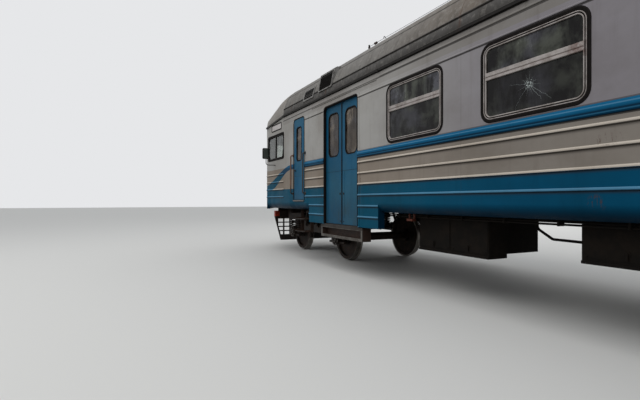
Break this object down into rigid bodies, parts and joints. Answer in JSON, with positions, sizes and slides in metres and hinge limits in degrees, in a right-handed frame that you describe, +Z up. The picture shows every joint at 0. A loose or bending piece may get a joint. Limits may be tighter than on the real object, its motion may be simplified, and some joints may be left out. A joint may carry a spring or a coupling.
{
  "type": "passenger coach",
  "caption": "Driving-end suburban passenger coach on two bogies, with ribbed sides, sliding door leaves, hinged cab doors, gangway door and swinging couplers.",
  "frame": {"origin": "on the centreline midway between the coupler ends, level with the lowest points of the wheel flanges", "axes": "+X towards the cab, +Y to the left side of the coach, +Z up"},
  "size_m": [20.1, 4.16, 4.584],
  "materials": {
    "grey_side_paint": "satin",
    "roof_paint": "matt",
    "door_blue_paint": "satin",
    "underframe_paint": "matt",
    "bogie_casting": "matt",
    "wheel_steel": "worn",
    "spring_steel": "matt",
    "window_rubber": "matt",
    "window_alloy": "satin",
    "window_glass": "clear",
    "interior_laminate": "matt",
    "seat_vinyl": "worn",
    "lamp_glass": "clear",
    "desk_paint": "satin",
    "red_beam_paint": "matt",
    "step_steel": "worn",
    "handrail_steel": "worn"
  },
  "bodies": {
    "coach_body": {"underframe": "underframe_paint", "floor": "interior_laminate", "left_wall": "grey_side_paint", "right_wall": "grey_side_paint", "roof": "roof_paint", "cab_nose": "grey_side_paint", "rear_end_wall": "grey_side_paint", "gangway": "underframe_paint", "interior_panels": "interior_laminate", "seats": "seat_vinyl", "cab_fittings": "desk_paint", "door_steps": "step_steel", "cowcatcher": "red_beam_paint", "equipment_boxes": "underframe_paint", "air_tanks": "underframe_paint", "roof_vents": "roof_paint", "antenna_posts": "handrail_steel", "lamps": "lamp_glass", "mirrors": "handrail_steel", "handrails": "handrail_steel", "window_rubbers": "window_rubber", "window_frames": "window_alloy", "window_glass": "window_glass"},
    "front_bogie": {"front_bogie_frame": "bogie_casting", "front_bogie_bolster": "bogie_casting", "front_axleboxes": "bogie_casting", "front_bogie_springs": "spring_steel"},
    "front_leading_wheelset": {"front_leading_wheelset": "wheel_steel"},
    "front_trailing_wheelset": {"front_trailing_wheelset": "wheel_steel"},
    "rear_bogie": {"rear_bogie_frame": "bogie_casting", "rear_bogie_bolster": "bogie_casting", "rear_axleboxes": "bogie_casting", "rear_bogie_springs": "spring_steel"},
    "rear_leading_wheelset": {"rear_leading_wheelset": "wheel_steel"},
    "rear_trailing_wheelset": {"rear_trailing_wheelset": "wheel_steel"},
    "left_front_door_rear_leaf": {"left_front_door_rear_leaf": "door_blue_paint", "left_front_door_rear_leaf_glass": "window_glass"},
    "left_front_door_front_leaf": {"left_front_door_front_leaf": "door_blue_paint", "left_front_door_front_leaf_glass": "window_glass"},
    "right_front_door_rear_leaf": {"right_front_door_rear_leaf": "door_blue_paint", "right_front_door_rear_leaf_glass": "window_glass"},
    "right_front_door_front_leaf": {"right_front_door_front_leaf": "door_blue_paint", "right_front_door_front_leaf_glass": "window_glass"},
    "left_rear_door_rear_leaf": {"left_rear_door_rear_leaf": "door_blue_paint", "left_rear_door_rear_leaf_glass": "window_glass"},
    "left_rear_door_front_leaf": {"left_rear_door_front_leaf": "door_blue_paint", "left_rear_door_front_leaf_glass": "window_glass"},
    "right_rear_door_rear_leaf": {"right_rear_door_rear_leaf": "door_blue_paint", "right_rear_door_rear_leaf_glass": "window_glass"},
    "right_rear_door_front_leaf": {"right_rear_door_front_leaf": "door_blue_paint", "right_rear_door_front_leaf_glass": "window_glass"},
    "left_cab_door": {"left_cab_door": "door_blue_paint", "left_cab_door_glass": "window_glass"},
    "right_cab_door": {"right_cab_door": "door_blue_paint", "right_cab_door_glass": "window_glass"},
    "gangway_door": {"gangway_door": "door_blue_paint", "gangway_door_glass": "window_glass"},
    "front_coupler": {"front_coupler": "bogie_casting"},
    "rear_coupler": {"rear_coupler": "bogie_casting"}
  },
  "joints": [
    {"name": "front_bogie_pivot", "type": "hinge", "parent": "coach_body", "child": "front_bogie", "pos_m": [6.65, 0, 1.068], "axis": [0, 0, 1], "range_deg": [-4, 4]},
    {"name": "front_leading_axle_spin", "type": "hinge", "parent": "front_bogie", "child": "front_leading_wheelset", "pos_m": [7.85, 0, 0.503], "axis": [0, 1, 0], "continuous": true},
    {"name": "front_trailing_axle_spin", "type": "hinge", "parent": "front_bogie", "child": "front_trailing_wheelset", "pos_m": [5.45, 0, 0.503], "axis": [0, 1, 0], "continuous": true},
    {"name": "rear_bogie_pivot", "type": "hinge", "parent": "coach_body", "child": "rear_bogie", "pos_m": [-6.65, 0, 1.068], "axis": [0, 0, 1], "range_deg": [-4, 4]},
    {"name": "rear_leading_axle_spin", "type": "hinge", "parent": "rear_bogie", "child": "rear_leading_wheelset", "pos_m": [-5.45, 0, 0.503], "axis": [0, 1, 0], "continuous": true},
    {"name": "rear_trailing_axle_spin", "type": "hinge", "parent": "rear_bogie", "child": "rear_trailing_wheelset", "pos_m": [-7.85, 0, 0.503], "axis": [0, 1, 0], "continuous": true},
    {"name": "left_front_door_rear_leaf_slide", "type": "slide", "parent": "coach_body", "child": "left_front_door_rear_leaf", "axis": [-1, 0, 0], "range_m": [0, 0.575]},
    {"name": "left_front_door_front_leaf_slide", "type": "slide", "parent": "coach_body", "child": "left_front_door_front_leaf", "axis": [1, 0, 0], "range_m": [0, 0.575]},
    {"name": "right_front_door_rear_leaf_slide", "type": "slide", "parent": "coach_body", "child": "right_front_door_rear_leaf", "axis": [-1, 0, 0], "range_m": [0, 0.575]},
    {"name": "right_front_door_front_leaf_slide", "type": "slide", "parent": "coach_body", "child": "right_front_door_front_leaf", "axis": [1, 0, 0], "range_m": [0, 0.575]},
    {"name": "left_rear_door_rear_leaf_slide", "type": "slide", "parent": "coach_body", "child": "left_rear_door_rear_leaf", "axis": [-1, 0, 0], "range_m": [0, 0.575]},
    {"name": "left_rear_door_front_leaf_slide", "type": "slide", "parent": "coach_body", "child": "left_rear_door_front_leaf", "axis": [1, 0, 0], "range_m": [0, 0.575]},
    {"name": "right_rear_door_rear_leaf_slide", "type": "slide", "parent": "coach_body", "child": "right_rear_door_rear_leaf", "axis": [-1, 0, 0], "range_m": [0, 0.575]},
    {"name": "right_rear_door_front_leaf_slide", "type": "slide", "parent": "coach_body", "child": "right_rear_door_front_leaf", "axis": [1, 0, 0], "range_m": [0, 0.575]},
    {"name": "left_cab_door_hinge", "type": "hinge", "parent": "coach_body", "child": "left_cab_door", "pos_m": [5.732, 1.68, 2.2], "axis": [0, 0, -1], "range_deg": [0, 90]},
    {"name": "right_cab_door_hinge", "type": "hinge", "parent": "coach_body", "child": "right_cab_door", "pos_m": [5.732, -1.68, 2.2], "axis": [0, 0, 1], "range_deg": [0, 90]},
    {"name": "gangway_door_hinge", "type": "hinge", "parent": "coach_body", "child": "gangway_door", "pos_m": [-9.82, 0.358, 2.3], "axis": [0, 0, 1], "range_deg": [0, 90]},
    {"name": "front_coupler_swing", "type": "hinge", "parent": "coach_body", "child": "front_coupler", "pos_m": [8.9, 0, 1.068], "axis": [0, 0, 1], "range_deg": [-8, 8]},
    {"name": "rear_coupler_swing", "type": "hinge", "parent": "coach_body", "child": "rear_coupler", "pos_m": [-8.9, 0, 1.068], "axis": [0, 0, 1], "range_deg": [-8, 8]}
  ]
}
